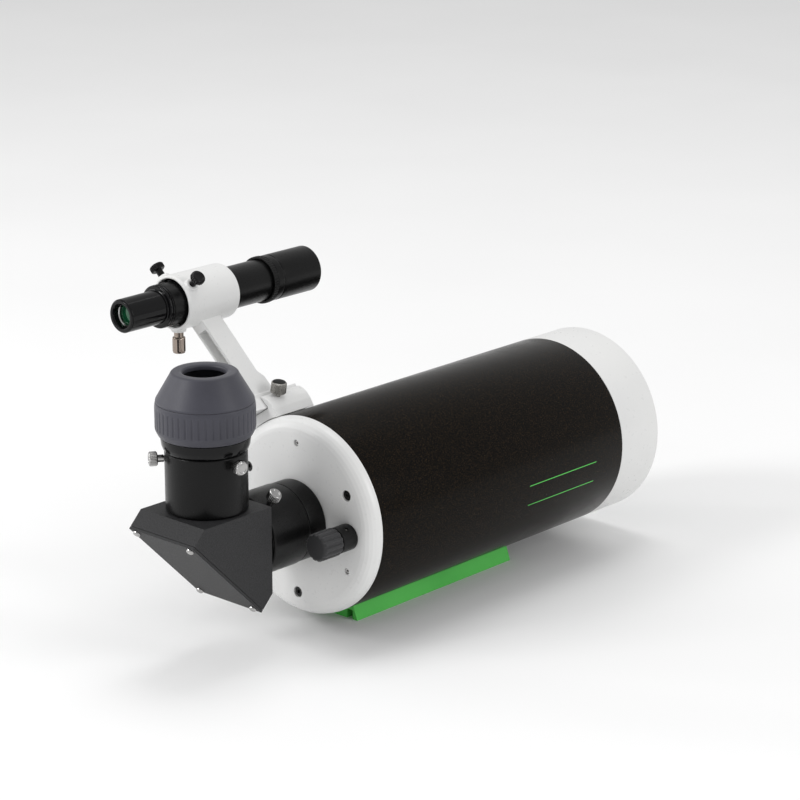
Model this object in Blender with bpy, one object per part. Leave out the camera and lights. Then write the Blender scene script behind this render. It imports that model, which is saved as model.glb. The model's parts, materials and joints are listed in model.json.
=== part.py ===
"""Maksutov-Cassegrain telescope with star diagonal, eyepiece and finder.

Every physical piece is its own closed object.  Lengths below are millimetres and are
turned into metres by MM where a mesh or a location is made.  All pieces hang from the
empty optical_axis, which lies on the tube's axis at the seam between the rear cell and
the tube: +Y runs forward to the sky, +Z is up, +X is to the right seen from behind.
Finder pieces hang from finder_station, turned about +Y so that its +Z is radial there.
"""
import math

import bmesh
import bpy
from mathutils import Matrix, Vector

MM = 0.001
GAP = 0.3
BIG, MID, SMALL, SCREW = 40, 24, 16, 10
FORWARD = (math.radians(-90.0), 0.0, 0.0)

# Main tube
TUBE_RADIUS = 73.0
TUBE_WALL = 1.5
TUBE_LENGTH = 271.0
REAR_FACE_Y = -12.0
FRONT_FACE_Y = 317.4

# Dovetail bar under the tube; its underside is the part's z = 0
BAR_BOTTOM_Z = -84.3
BAR_TOP_Z = -TUBE_RADIUS - GAP
BAR_REAR_Y, BAR_FRONT_Y = 27.0, 199.0
BAR_MIDDLE_Y = (BAR_REAR_Y + BAR_FRONT_Y) / 2
BAR_BOLT_Y = {"rear": BAR_REAR_Y + 20.0, "front": BAR_FRONT_Y - 20.0}

# Optics
MIRROR_RADIUS = 64.0
MIRROR_CURVE_RADIUS = 700.0
CORRECTOR_RADIUS = 66.2
CORRECTOR_CURVE_RADIUS = 190.0
CORRECTOR_REAR_Y = 271.0
CORRECTOR_THICKNESS = 12.0
CORRECTOR_SEAT_Y = 282.0

# Focus knob and collimation screws on the rear face
KNOB_X, KNOB_Z = 50.8, -1.3
KNOB_RADIUS = 9.6
COLLIMATION_RADIUS = 56.3
PULL_SCREW_ANGLES = {"1": 30.0, "2": 150.0, "3": 270.0}
PUSH_SCREW_ANGLES = {"1": 90.0, "2": 210.0, "3": 330.0}

# Two-inch visual back, star diagonal and eyepiece
BARREL_RADIUS = 25.3
SOCKET_RADIUS = 25.7
BACK_RADIUS = 30.0
BACK_REAR_Y, BACK_FRONT_Y = -64.0, -28.3
BACK_SCREW_Y = -56.0
BACK_SCREW_ANGLES = {"top": 57.0, "left": 177.0}
EYEPIECE_Y = -99.7
BOX_HALF_WIDTH = 31.65
BOX_TOP_Z = 30.8
BOX_FRONT_Y = EYEPIECE_Y + BOX_TOP_Z
BOX_LEG = 63.7
BOX_CUT = 11.3
BOX_WALL = 3.0
COVER_THICKNESS = 2.0
HOLDER_RADIUS = 28.7
HOLDER_BOTTOM_Z = BOX_TOP_Z + GAP
HOLDER_TOP_Z = 74.0
HOLDER_SCREW_Z = 68.7
HOLDER_SCREW_ANGLES = {"right": -5.4, "front": 114.6, "left": 234.6}
GRIP_RADIUS = 34.7
EYECUP_BOTTOM_Z = 108.5
EYECUP_TOP_Z = 129.4

# Finder: heights are radial distances from the optical axis
FINDER_ANGLE = 124.0
FINDER_HEIGHT = 176.3
SHOE_REAR_Y, SHOE_FRONT_Y = -4.0, 34.0
SHOE_TOP = 90.4
SLOT_FLOOR = 80.6
RING_REAR_Y, RING_FRONT_Y = -37.8, 12.2
RING_RADIUS, RING_BORE = 20.3, 17.9
FINDER_TUBE_RADIUS = 15.7
FINDER_SCREW_Y = -31.0
FINDER_SCREW_TIP = 16.9
PLUNGER_TIP = 16.0
FINDER_SCREW_ANGLES = {"right": 45.0, "left": 135.0}
PLUNGER_ANGLE = 270.0
O_RING_Y = 6.8

WHITE = ("white_paint", (0.86, 0.86, 0.84), 0.25, 0.0)
BLACK_GLOSS = ("black_gloss", (0.015, 0.014, 0.013), 0.2, 0.3)
BLACK_SATIN = ("black_satin", (0.02, 0.02, 0.021), 0.35, 0.4)
BLACK_WRINKLE = ("black_wrinkle", (0.03, 0.03, 0.032), 0.6, 0.1)
RUBBER = ("grey_rubber", (0.07, 0.07, 0.078), 0.75, 0.0)
CHROME = ("bright_chrome", (0.75, 0.75, 0.76), 0.12, 1.0)
STEEL = ("brushed_steel", (0.55, 0.55, 0.56), 0.3, 1.0)
BRASS = ("brass", (0.6, 0.45, 0.18), 0.35, 1.0)
GREEN = ("green_anodised", (0.07, 0.42, 0.08), 0.3, 0.6)
GLASS = ("coated_glass", (0.5, 0.6, 0.56), 0.05, 0.0)
MIRROR = ("silvered_glass", (0.85, 0.86, 0.87), 0.03, 1.0)


def clear_scene():
    for item in list(bpy.data.objects):
        bpy.data.objects.remove(item, do_unlink=True)


def new_empty(name, location, rotation=(0.0, 0.0, 0.0), parent=None):
    empty = bpy.data.objects.new(name, None)
    bpy.context.scene.collection.objects.link(empty)
    empty.parent = parent
    empty.location = location
    empty.rotation_euler = rotation
    return empty


def new_material(name, finish):
    _, colour, roughness, metallic = finish
    material = bpy.data.materials.new(name)
    material.use_nodes = True
    shader = material.node_tree.nodes["Principled BSDF"]
    shader.inputs["Base Color"].default_value = (*colour, 1.0)
    shader.inputs["Roughness"].default_value = roughness
    shader.inputs["Metallic"].default_value = metallic
    material.diffuse_color = (*colour, 1.0)
    return material


def new_object(name, work, finish, parent, location=(0.0, 0.0, 0.0), rotation=(0.0, 0.0, 0.0)):
    """Make an object from a bmesh in millimetres, with outward faces and its own material."""
    bmesh.ops.remove_doubles(work, verts=work.verts, dist=1e-4)
    bmesh.ops.recalc_face_normals(work, faces=work.faces)
    bmesh.ops.scale(work, vec=(MM, MM, MM), verts=work.verts)
    mesh = bpy.data.meshes.new(name)
    work.to_mesh(mesh)
    work.free()
    mesh.shade_smooth()
    mesh.set_sharp_from_angle(angle=math.radians(35.0))
    item = bpy.data.objects.new(name, mesh)
    bpy.context.scene.collection.objects.link(item)
    item.parent = parent
    item.location = Vector(location) * MM
    item.rotation_euler = rotation
    mesh.materials.append(new_material(name, finish))
    return item


def turned(name, profile, finish, parent, sides=MID, location=(0.0, 0.0, 0.0), rotation=FORWARD):
    """Turn a closed (radius, height) profile about the local Z axis."""
    work = bmesh.new()
    rings = []
    for radius, height in profile:
        if radius == 0:
            rings.append([work.verts.new((0.0, 0.0, height))])
            continue
        ring = []
        for step in range(sides):
            angle = 2 * math.pi * step / sides
            ring.append(work.verts.new((radius * math.cos(angle), radius * math.sin(angle), height)))
        rings.append(ring)
    pairs = list(zip(rings, rings[1:]))
    if profile[0][0] > 0:
        pairs.append((rings[-1], rings[0]))
    for low, high in pairs:
        for step in range(sides):
            after = (step + 1) % sides
            if len(low) == 1:
                work.faces.new((low[0], high[after], high[step]))
            elif len(high) == 1:
                work.faces.new((low[step], low[after], high[0]))
            else:
                work.faces.new((low[step], low[after], high[after], high[step]))
    return new_object(name, work, finish, parent, location, rotation)


def prism(name, outline, start, end, finish, parent, along="X", rotation=(0.0, 0.0, 0.0)):
    """Extrude a closed outline: (y, z) points along X, or (x, z) points along Y."""
    work = bmesh.new()
    layers = []
    for depth in (start, end):
        if along == "X":
            layers.append([work.verts.new((depth, a, b)) for a, b in outline])
        else:
            layers.append([work.verts.new((a, depth, b)) for a, b in outline])
    near, far = layers
    work.faces.new(near)
    work.faces.new(far)
    count = len(outline)
    for step in range(count):
        after = (step + 1) % count
        work.faces.new((near[step], near[after], far[after], far[step]))
    return new_object(name, work, finish, parent, rotation=rotation)


def add_boolean(target, tool, operation):
    tool.hide_render = True
    tool.display_type = "WIRE"
    modifier = target.modifiers.new(f"{operation.lower()}_{tool.name}", "BOOLEAN")
    modifier.operation = operation
    modifier.solver = "EXACT"
    modifier.object = tool


def drill(target, name, radius, start, end, location, rotation, sides=SCREW):
    """Cut a round hole in target, from start to end along the tool's local Z."""
    profile = [(0, start), (radius, start), (radius, end), (0, end)]
    tool = turned(name, profile, STEEL, target.parent, sides, location, rotation)
    add_boolean(target, tool, "DIFFERENCE")


def aim(direction):
    """Rotation that turns local +Z to the given direction."""
    return Vector(direction).to_track_quat("Z", "Y").to_euler()


def across(angle):
    """Unit direction across the optical axis, measured from +X towards +Z."""
    return Vector((math.cos(math.radians(angle)), 0.0, math.sin(math.radians(angle))))


def around(angle):
    """Unit direction around the eyepiece, measured from +X towards +Y."""
    return Vector((math.cos(math.radians(angle)), math.sin(math.radians(angle)), 0.0))


def lens_profile(radius, rear, front, rear_bulge, front_bulge, steps=3):
    """Axis-to-axis outline of a lens; a positive bulge swells out of the lens."""
    points = []
    for step in range(steps + 1):
        share = step / steps
        points.append((radius * share, rear - rear_bulge * (1 - share ** 2)))
    for step in range(steps + 1):
        share = 1 - step / steps
        points.append((radius * share, front + front_bulge * (1 - share ** 2)))
    return points


def thumbscrew(name, base, direction, tip, neck, head, parent, finish, head_radius=5.1, shank=1.9):
    """Thumbscrew with its origin on the host's surface; heights run outward from it."""
    profile = [(0, -tip), (shank, -tip), (shank, 0.6), (2.6, 0.6), (2.6, neck),
               (head_radius - 0.5, neck), (head_radius, neck + 0.5),
               (head_radius, neck + head - 0.6), (head_radius - 0.6, neck + head), (0, neck + head)]
    return turned(name, profile, finish, parent, SCREW, base, aim(direction))


def build_tube(axis):
    inner = TUBE_RADIUS - TUBE_WALL
    rear, front = 0.2, TUBE_LENGTH - 0.1
    profile = [(inner, rear), (TUBE_RADIUS, rear), (TUBE_RADIUS, front), (inner, front)]
    tube = turned("tube", profile, BLACK_GLOSS, axis, BIG)
    for place, y in BAR_BOLT_Y.items():
        drill(tube, f"tube_bolt_hole_{place}", 3.0, -TUBE_RADIUS - 3, -TUBE_RADIUS + 8, (0, y, 0), (0, 0, 0))


def build_rear_cell(axis):
    profile = [(73, -0.1), (73, -3), (72.2, -6.5), (70, -9.5), (66.8, -11.4), (63, REAR_FACE_Y),
               (24, REAR_FACE_Y), (24, -5), (67.5, -5), (67.5, 14), (71.1, 14), (71.1, -0.1)]
    cell = turned("rear_cell", profile, WHITE, axis, BIG)
    drill(cell, "bush_hole", 6.3, -13, -4, (KNOB_X, 0, KNOB_Z), FORWARD, SMALL)
    for number, angle in PULL_SCREW_ANGLES.items():
        place = across(angle) * COLLIMATION_RADIUS
        drill(cell, f"pull_counterbore_{number}", 4.0, -13, -8, place, FORWARD)
        drill(cell, f"pull_hole_{number}", 2.3, -9, -4, place, FORWARD)
    for number, angle in PUSH_SCREW_ANGLES.items():
        place = across(angle) * COLLIMATION_RADIUS
        drill(cell, f"push_hole_{number}", 2.3, -13, -4, place, FORWARD)


def build_collimation(axis):
    plate = turned("collimation_plate", [(15.3, -1.7), (60, -1.7), (60, 2.3), (15.3, 2.3)],
                   BLACK_SATIN, axis, BIG)
    drill(plate, "rod_clearance", 6.0, -3, 4, (KNOB_X, 0, KNOB_Z), FORWARD)
    for number, angle in PULL_SCREW_ANGLES.items():
        place = across(angle) * COLLIMATION_RADIUS
        drill(plate, f"plate_hole_{number}", 2.3, -3, 4, place, FORWARD)
        profile = [(0, -11), (3.5, -11), (3.5, -8.3), (1.9, -8.3), (1.9, 2), (0, 2)]
        turned(f"collimation_pull_screw_{number}", profile, BLACK_SATIN, axis, SCREW, place)
    for number, angle in PUSH_SCREW_ANGLES.items():
        place = across(angle) * COLLIMATION_RADIUS
        profile = [(0, -10.8), (1.9, -10.8), (1.9, -2.1), (0, -2.1)]
        turned(f"collimation_push_screw_{number}", profile, CHROME, axis, SCREW, place)


def build_corrector(axis):
    seat = CORRECTOR_SEAT_Y
    profile = [(71.1, 256), (71.1, 271.1), (TUBE_RADIUS, 271.1), (TUBE_RADIUS, 315.5), (71.8, 317.1),
               (69.8, FRONT_FACE_Y), (67.2, 316.6), (66.6, 315), (66.6, seat), (62.8, seat), (62.8, 256)]
    turned("front_cell", profile, WHITE, axis, BIG)

    def rear_surface(radius):
        return CORRECTOR_REAR_Y + radius ** 2 / (2 * CORRECTOR_CURVE_RADIUS)

    radii = [0, 21, 42, 62]
    flat_radii = [62.6, CORRECTOR_RADIUS]
    rear = [(r, rear_surface(r)) for r in radii] + [(r, seat + GAP) for r in flat_radii]
    front = [(r, rear_surface(r) + CORRECTOR_THICKNESS) for r in radii]
    front += [(r, rear_surface(62) + CORRECTOR_THICKNESS) for r in flat_radii]
    turned("corrector_lens", rear + front[::-1], GLASS, axis, BIG)
    top = rear_surface(62) + CORRECTOR_THICKNESS + GAP
    ring = [(62.8, top), (CORRECTOR_RADIUS, top), (CORRECTOR_RADIUS, top + 4), (62.8, top + 4)]
    turned("corrector_retaining_ring", ring, BLACK_SATIN, axis, BIG)

    spot_radii = [0, 7.5, 15]
    facing = [(r, rear_surface(r) - GAP - 1) for r in spot_radii]
    backing = [(r, rear_surface(r) - GAP) for r in spot_radii]
    turned("secondary_mirror", facing + backing[::-1], MIRROR, axis)
    cone = [(16.3, 271.2), (17.6, 271.2), (20.8, 252), (19.5, 252)]
    turned("secondary_baffle", cone, BLACK_SATIN, axis)


def build_primary(axis):
    baffle = [(15, 2.6), (24, 2.6), (24, 5.4), (17, 5.4), (17, 152), (15, 152)]
    turned("baffle_tube", baffle, BLACK_SATIN, axis)
    carriage = [(17.4, 9), (58, 9), (58, 13), (40, 13), (40, 18.5), (20, 18.5), (20, 45), (17.4, 45)]
    frame = turned("mirror_carriage", carriage, BLACK_SATIN, axis, MID)
    drill(frame, "rod_hole", 3.3, 8, 14, (KNOB_X, 0, KNOB_Z), FORWARD)

    edge_y = 36.5
    hole = 20.6
    curve = []
    for step in range(5):
        radius = MIRROR_RADIUS + (hole - MIRROR_RADIUS) * step / 4
        curve.append((radius, edge_y - (MIRROR_RADIUS ** 2 - radius ** 2) / (2 * MIRROR_CURVE_RADIUS)))
    turned("primary_mirror", [(hole, 18.8), (MIRROR_RADIUS, 18.8)] + curve, MIRROR, axis, BIG)
    turned("mirror_lock_ring", [(20.4, 34.6), (26, 34.6), (26, 38), (20.4, 38)], BLACK_SATIN, axis)


def build_focuser(axis):
    place = (KNOB_X, 0, KNOB_Z)
    turned("focus_rod", [(0, -34), (2.9, -34), (2.9, 17.4), (0, 17.4)], STEEL, axis, SCREW, place)
    turned("focus_rod_nut", [(3.8, 13.3), (6.2, 13.3), (6.2, 17.2), (3.8, 17.2)], STEEL, axis, 6, place)
    turned("focus_bush", [(3.3, -11.7), (5.9, -11.7), (5.9, -5.3), (3.3, -5.3)], BRASS, axis, SMALL, place)

    collar_end, hub, bore = -26.2, 7.5, 3.4
    core = [(0, -45.6), (KNOB_RADIUS - 1.2, -45.6), (KNOB_RADIUS, -44.6), (KNOB_RADIUS, -43.8),
            (hub, -43.8), (hub, collar_end), (KNOB_RADIUS, collar_end), (KNOB_RADIUS, -12.3),
            (bore, -12.3), (bore, -42), (0, -42)]
    knob = turned("focus_knob_core", core, BLACK_SATIN, axis, SMALL, place)
    grip = [(7.8, -43.5), (10.3, -43.5), (10.3, -26.5), (7.8, -26.5)]
    turned("focus_knob_grip", grip, RUBBER, axis, SMALL, place)

    screw_y, screw_direction = -19.0, across(60.0)
    hole_centre = (KNOB_X, screw_y, KNOB_Z)
    drill(knob, "set_screw_hole", 1.5, 4.6, 12, hole_centre, aim(screw_direction), 8)
    turned("focus_knob_set_screw", [(0, 5.2), (1.1, 5.2), (1.1, 8.6), (0, 8.6)], STEEL, axis, 8,
           hole_centre, aim(screw_direction))


def build_visual_back(axis):
    port = [(20, -28), (29.5, -28), (29.5, -12.3), (23.6, -12.3), (23.6, -2.1), (20, -2.1)]
    turned("rear_port", port, BLACK_SATIN, axis)
    profile = [(SOCKET_RADIUS, BACK_REAR_Y), (BACK_RADIUS - 0.8, BACK_REAR_Y),
               (BACK_RADIUS, BACK_REAR_Y + 0.8), (BACK_RADIUS, BACK_FRONT_Y), (21, BACK_FRONT_Y),
               (21, -34), (SOCKET_RADIUS, -34)]
    back = turned("visual_back", profile, BLACK_SATIN, axis)
    for side, angle in BACK_SCREW_ANGLES.items():
        direction = across(angle)
        base = direction * BACK_RADIUS + Vector((0, BACK_SCREW_Y, 0))
        drill(back, f"back_screw_hole_{side}", 2.2, -6, 3, base, aim(direction))
        thumbscrew(f"visual_back_screw_{side}", base, direction, 3.9, 5.6, 7.0, axis, CHROME, 4.9)


def offset_along(point, direction, distance):
    return (point[0] + direction[0] * distance, point[1] + direction[1] * distance)


def build_diagonal(axis):
    slope = math.sqrt(0.5)
    outward = (-slope, -slope)
    towards_front = (slope, -slope)
    top_front = (BOX_FRONT_Y, BOX_TOP_Z)
    top_rear = (BOX_FRONT_Y - BOX_LEG, BOX_TOP_Z)
    low_front = (BOX_FRONT_Y, BOX_TOP_Z - BOX_LEG)
    cut = BOX_CUT / slope
    cover_rear = offset_along(top_rear, outward, cut)
    cover_front = offset_along(low_front, outward, cut)
    seat = -COVER_THICKNESS - GAP
    outline = [top_front, top_rear, offset_along(cover_rear, outward, seat),
               offset_along(cover_front, outward, seat), low_front]
    half = BOX_HALF_WIDTH
    box = prism("diagonal_housing", outline, -half, half, BLACK_WRINKLE, axis)

    inner_top = BOX_TOP_Z - BOX_WALL
    inner_front = BOX_FRONT_Y - BOX_WALL
    rear_line = offset_along(top_rear, towards_front, BOX_WALL)
    rear_start = (rear_line[0] - (rear_line[1] - inner_top), inner_top)
    front_line = offset_along(low_front, (-slope, slope), BOX_WALL)
    front_start = (inner_front, front_line[1] - (front_line[0] - inner_front))
    hollow = [(inner_front, inner_top), rear_start, offset_along(rear_start, outward, 24),
              offset_along(front_start, outward, 24), front_start]
    inner_half = half - BOX_WALL
    tool = prism("housing_hollow", hollow, -inner_half, inner_half, STEEL, axis)
    add_boolean(box, tool, "DIFFERENCE")
    drill(box, "housing_front_hole", 22.5, BOX_FRONT_Y - 8, BOX_FRONT_Y + 5, (0, 0, 0), FORWARD, MID)
    drill(box, "housing_top_hole", 22.0, BOX_TOP_Z - 8, BOX_TOP_Z + 5, (0, EYEPIECE_Y, 0), (0, 0, 0), MID)

    cover_outline = [cover_rear, cover_front, offset_along(cover_front, outward, -COVER_THICKNESS),
                     offset_along(cover_rear, outward, -COVER_THICKNESS)]
    cover = prism("diagonal_cover", cover_outline, -half, half, BLACK_WRINKLE, axis)
    middle = offset_along(cover_rear, towards_front, math.dist(cover_rear, cover_front) / 2)
    reach = 35.0
    mirror_back, mirror_depth = 7.3, 10.0

    def slab(near, far):
        return [offset_along(offset_along(middle, outward, -depth), towards_front, shift)
                for depth, shift in ((near, -reach), (near, reach), (far, reach), (far, -reach))]

    boss = prism("cover_boss", slab(1.0, mirror_back - GAP), -24, 24, STEEL, axis)
    add_boolean(cover, boss, "UNION")
    prism("diagonal_mirror", slab(mirror_back, mirror_back + mirror_depth), -26, 26, MIRROR, axis)

    nose = [(22.5, BOX_FRONT_Y + GAP), (27.5, BOX_FRONT_Y + GAP), (27.5, BACK_REAR_Y - GAP),
            (BARREL_RADIUS, BACK_REAR_Y - GAP), (BARREL_RADIUS, -60), (24.4, -59), (24.4, -51),
            (BARREL_RADIUS, -50), (BARREL_RADIUS, -36.4), (24.7, -35.8), (22.5, -35.8)]
    turned("diagonal_nosepiece", nose, CHROME, axis)


def build_holder(axis):
    place = (0, EYEPIECE_Y, 0)
    ring_low, ring_high = HOLDER_SCREW_Z - 3, HOLDER_SCREW_Z + 3
    profile = [(SOCKET_RADIUS, HOLDER_TOP_Z), (HOLDER_RADIUS - 0.8, HOLDER_TOP_Z),
               (HOLDER_RADIUS, HOLDER_TOP_Z - 0.8), (HOLDER_RADIUS, HOLDER_BOTTOM_Z),
               (22, HOLDER_BOTTOM_Z), (22, 36), (SOCKET_RADIUS, 36), (SOCKET_RADIUS, ring_low - 0.3),
               (27.2, ring_low - 0.3), (27.2, ring_high + 0.3), (SOCKET_RADIUS, ring_high + 0.3)]
    upright = (0, 0, 0)
    holder = turned("eyepiece_holder", profile, BLACK_SATIN, axis, MID, place, upright)
    ring = [(25.75, ring_low), (26.8, ring_low), (26.8, ring_high), (25.75, ring_high)]
    turned("compression_ring", ring, BRASS, axis, MID, place, upright)
    for side, angle in HOLDER_SCREW_ANGLES.items():
        direction = around(angle)
        base = direction * HOLDER_RADIUS + Vector((0, EYEPIECE_Y, HOLDER_SCREW_Z))
        drill(holder, f"holder_screw_hole_{side}", 2.2, -2.2, 3, base, aim(direction))
        thumbscrew(f"holder_screw_{side}", base, direction, 1.4, 5.0, 6.0, axis, CHROME)


def build_eyepiece(axis):
    place = (0, EYEPIECE_Y, 0)
    upright = (0, 0, 0)
    shoulder = HOLDER_TOP_Z + 0.4
    body = [(22.3, 40), (BARREL_RADIUS, 40), (BARREL_RADIUS, 48), (24.4, 49.5), (24.4, 56),
            (BARREL_RADIUS, 57.5), (BARREL_RADIUS, shoulder), (29, shoulder), (30.6, 78), (31.4, 84),
            (29, 84), (29, 107.2), (17.6, 107.2), (17.6, 94), (15, 94), (15, 75), (22.3, 75)]
    turned("eyepiece_body", body, BLACK_GLOSS, axis, MID, place, upright)
    turned("eyepiece_field_lens", lens_profile(21.8, 66, 74.6, 2.0, 0.0), GLASS, axis, SMALL, place, upright)
    turned("eyepiece_eye_lens", lens_profile(17.1, 94.4, 101, 0.0, 2.0), GLASS, axis, SMALL, place, upright)
    grip = [(29.4, 84.4), (32.4, 84.4), (33.7, 87.2), (GRIP_RADIUS, 90), (GRIP_RADIUS, 105.4),
            (34.2, 108.2), (29.4, 108.2)]
    turned("eyepiece_grip_ring", grip, RUBBER, axis, MID, place, upright)
    low, top = EYECUP_BOTTOM_Z, EYECUP_TOP_Z
    cup = [(29.5, low), (34.2, low), (34.2, low + 1.1), (24.2, top - 2.8), (22.9, top - 0.8), (21.2, top),
           (16.2, top - 0.2), (15, top - 1.2), (15, top - 4), (20.5, top - 5.4), (29.5, low + 2.5)]
    turned("eyecup", cup, RUBBER, axis, MID, place, upright)


def build_dovetail(axis):
    side = [(18.0, BAR_TOP_Z), (22.0, BAR_BOTTOM_Z), (17.4, BAR_BOTTOM_Z), (17.4, BAR_BOTTOM_Z + 7),
            (12.0, BAR_BOTTOM_Z + 7), (12.0, BAR_BOTTOM_Z)]
    outline = side + [(-x, z) for x, z in reversed(side)]
    bar = prism("dovetail_bar", outline, BAR_REAR_Y, BAR_FRONT_Y, GREEN, axis, "Y")
    for place, y in BAR_BOLT_Y.items():
        drill(bar, f"bar_counterbore_{place}", 5.2, BAR_BOTTOM_Z - 1, BAR_BOTTOM_Z + 6, (0, y, 0), (0, 0, 0))
        drill(bar, f"bar_hole_{place}", 3.0, BAR_BOTTOM_Z + 5, BAR_TOP_Z + 1, (0, y, 0), (0, 0, 0))
        head_low, head_top = BAR_BOTTOM_Z + 1, BAR_BOTTOM_Z + 5.7
        profile = [(0, head_low), (4.6, head_low), (4.6, head_top), (2.6, head_top), (2.6, -67), (0, -67)]
        turned(f"dovetail_bolt_{place}", profile, STEEL, axis, SCREW, (0, y, 0), (0, 0, 0))


def build_finder_shoe(station):
    half = 16.0
    saddle = []
    for step in range(9):
        x = half - 2 * half * step / 8
        saddle.append((x, math.sqrt((TUBE_RADIUS + GAP) ** 2 - x ** 2)))
    left = [(-16.2, 78), (-15.4, 82.5), (-13.6, 86.5), (-11, 89.4), (-9.4, SHOE_TOP), (-8.2, SHOE_TOP),
            (-11.2, SLOT_FLOOR)]
    right = [(-x, z) for x, z in reversed(left)]
    shoe = prism("finder_shoe", saddle + left + right, SHOE_REAR_Y, SHOE_FRONT_Y, WHITE, station, "Y")
    direction = across(47.0)
    base = Vector((13.2, 8.0, 87.0))
    drill(shoe, "shoe_screw_hole", 2.2, -9, 3, base, aim(direction))
    thumbscrew("finder_shoe_screw", base, direction, 3.2, 2.0, 8.8, station, STEEL, 5.7)


def build_finder_bracket(station):
    centre = (0, 0, FINDER_HEIGHT)
    ring = [(RING_BORE, RING_REAR_Y), (RING_RADIUS, RING_REAR_Y), (RING_RADIUS, RING_FRONT_Y),
            (RING_BORE, RING_FRONT_Y)]
    bracket = turned("finder_bracket", ring, WHITE, station, MID, centre)
    arm = [(-13, 92), (14, 92), (10.5, 105), (6, 110), (-4.5, 157.8), (-23.5, 157.8), (-16, 125), (-12.5, 108)]
    add_boolean(bracket, prism("bracket_arm", arm, -6.3, 6.3, STEEL, station), "UNION")
    foot = [(10.85, SLOT_FLOOR + GAP), (7.8, SHOE_TOP), (7.8, 93), (-7.8, 93), (-7.8, SHOE_TOP),
            (-10.85, SLOT_FLOOR + GAP)]
    tool = prism("bracket_foot", foot, -14.5, SHOE_FRONT_Y, STEEL, station, "Y")
    add_boolean(bracket, tool, "UNION")
    recess = [(-30, 150), (-14.5, 150), (-8, 122), (-4.5, 106), (-30, 106)]
    add_boolean(bracket, prism("arm_recess", recess, -3.9, 3.9, STEEL, station), "DIFFERENCE")

    angles = {**FINDER_SCREW_ANGLES, "plunger": PLUNGER_ANGLE}
    local = {side: across(angle - FINDER_ANGLE + 90) for side, angle in angles.items()}
    seat = Vector((0, FINDER_SCREW_Y, FINDER_HEIGHT))
    for side, direction in local.items():
        radius = 3.8 if side == "plunger" else 2.1
        drill(bracket, f"bracket_hole_{side}", radius, 14, 26, seat, aim(direction), SMALL)
        boss = [(radius + 0.2, 18.7), (radius + 1.8, 18.7), (radius + 1.8, 22.2), (radius + 0.2, 22.2)]
        tool = turned(f"bracket_boss_{side}", boss, STEEL, station, SMALL, seat, aim(direction))
        add_boolean(bracket, tool, "UNION")
    for side in FINDER_SCREW_ANGLES:
        direction = local[side]
        base = seat + direction * 22.2
        thumbscrew(f"finder_alignment_screw_{side}", base, direction, 22.2 - FINDER_SCREW_TIP, 5.4, 4.6,
                   station, BLACK_SATIN, 5.4, 1.8)
    build_plunger(station, seat, local["plunger"])


def build_plunger(station, seat, direction):
    housing = [(0, 36.6), (2.9, 36.6), (2.9, 22.4), (2.0, 22.4), (2.0, 18.4), (3.5, 18.4), (3.5, 26),
               (4.9, 26.6), (4.9, 37.4), (4.2, 38.2), (0, 38.2)]
    turned("finder_plunger_housing", housing, CHROME, station, SMALL, seat, aim(direction))
    pin = [(0, PLUNGER_TIP), (1.2, PLUNGER_TIP), (1.6, 16.6), (1.6, 23.4), (2.5, 23.4), (2.5, 24.8),
           (1.1, 24.8), (1.1, 31), (0, 31)]
    turned("finder_plunger_pin", pin, CHROME, station, SCREW, seat, aim(direction))

    low, high, turns, radius, wire = 25.4, 36.0, 6, 2.05, 0.28
    steps = turns * 10
    curve = bpy.data.curves.new("finder_plunger_spring", "CURVE")
    curve.dimensions = "3D"
    curve.bevel_depth = wire * MM
    curve.bevel_resolution = 0
    curve.use_fill_caps = True
    spline = curve.splines.new("POLY")
    spline.points.add(steps)
    for step in range(steps + 1):
        angle = 2 * math.pi * turns * step / steps
        height = low + (high - low) * step / steps
        point = Vector((radius * math.cos(angle), radius * math.sin(angle), height)) * MM
        spline.points[step].co = (*point, 1.0)
    curve.materials.append(new_material("finder_plunger_spring", STEEL))
    spring = bpy.data.objects.new("finder_plunger_spring", curve)
    bpy.context.scene.collection.objects.link(spring)
    spring.parent = station
    spring.location = seat * MM
    spring.rotation_euler = aim(direction)


def build_finder(station):
    def piece(name, profile, finish, sides=MID):
        turned(name, profile, finish, station, sides, (0, O_RING_Y, FINDER_HEIGHT))

    def shifted(points):
        return [(radius, y - O_RING_Y) for radius, y in points]

    radius = FINDER_TUBE_RADIUS
    tube = [(10.3, -48), (radius, -48), (radius, 64), (14.4, 64), (14.4, -45), (10.3, -45)]
    piece("finder_tube", shifted(tube), BLACK_SATIN)
    middle, half = O_RING_Y, 1.8
    seal = [(16.0, middle - 1), (16.5, middle - half), (17.1, middle - half), (17.5, middle - 1),
            (17.5, middle + 1), (17.1, middle + half), (16.5, middle + half), (16.0, middle + 1)]
    piece("finder_o_ring", shifted(seal), RUBBER)
    eyepiece = [(8.4, -86), (11.3, -86), (12.3, -85), (12.3, -52), (15.6, -51.6), (15.6, -48.3),
                (10, -48.3), (10, -42), (8.4, -42)]
    piece("finder_eyepiece", shifted(eyepiece), BLACK_GLOSS)
    piece("finder_eye_lens", shifted(lens_profile(8.1, -79, -76, 1.0, 0.6)), GLASS, SMALL)
    lock = [(16.05, 50), (17.7, 50), (17.7, 54.7), (16.05, 54.7)]
    piece("finder_lock_ring", shifted(lock), BLACK_SATIN)
    cell = [(16.05, 55), (17.2, 55), (17.2, 99), (16.6, 99.7), (15.8, 99.7), (15.8, 73), (14, 73), (14, 70),
            (16.05, 70)]
    piece("finder_objective_cell", shifted(cell), BLACK_SATIN)
    piece("finder_objective_lens", shifted(lens_profile(15.4, 73.3, 79, 0.0, 2.0)), GLASS)


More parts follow.
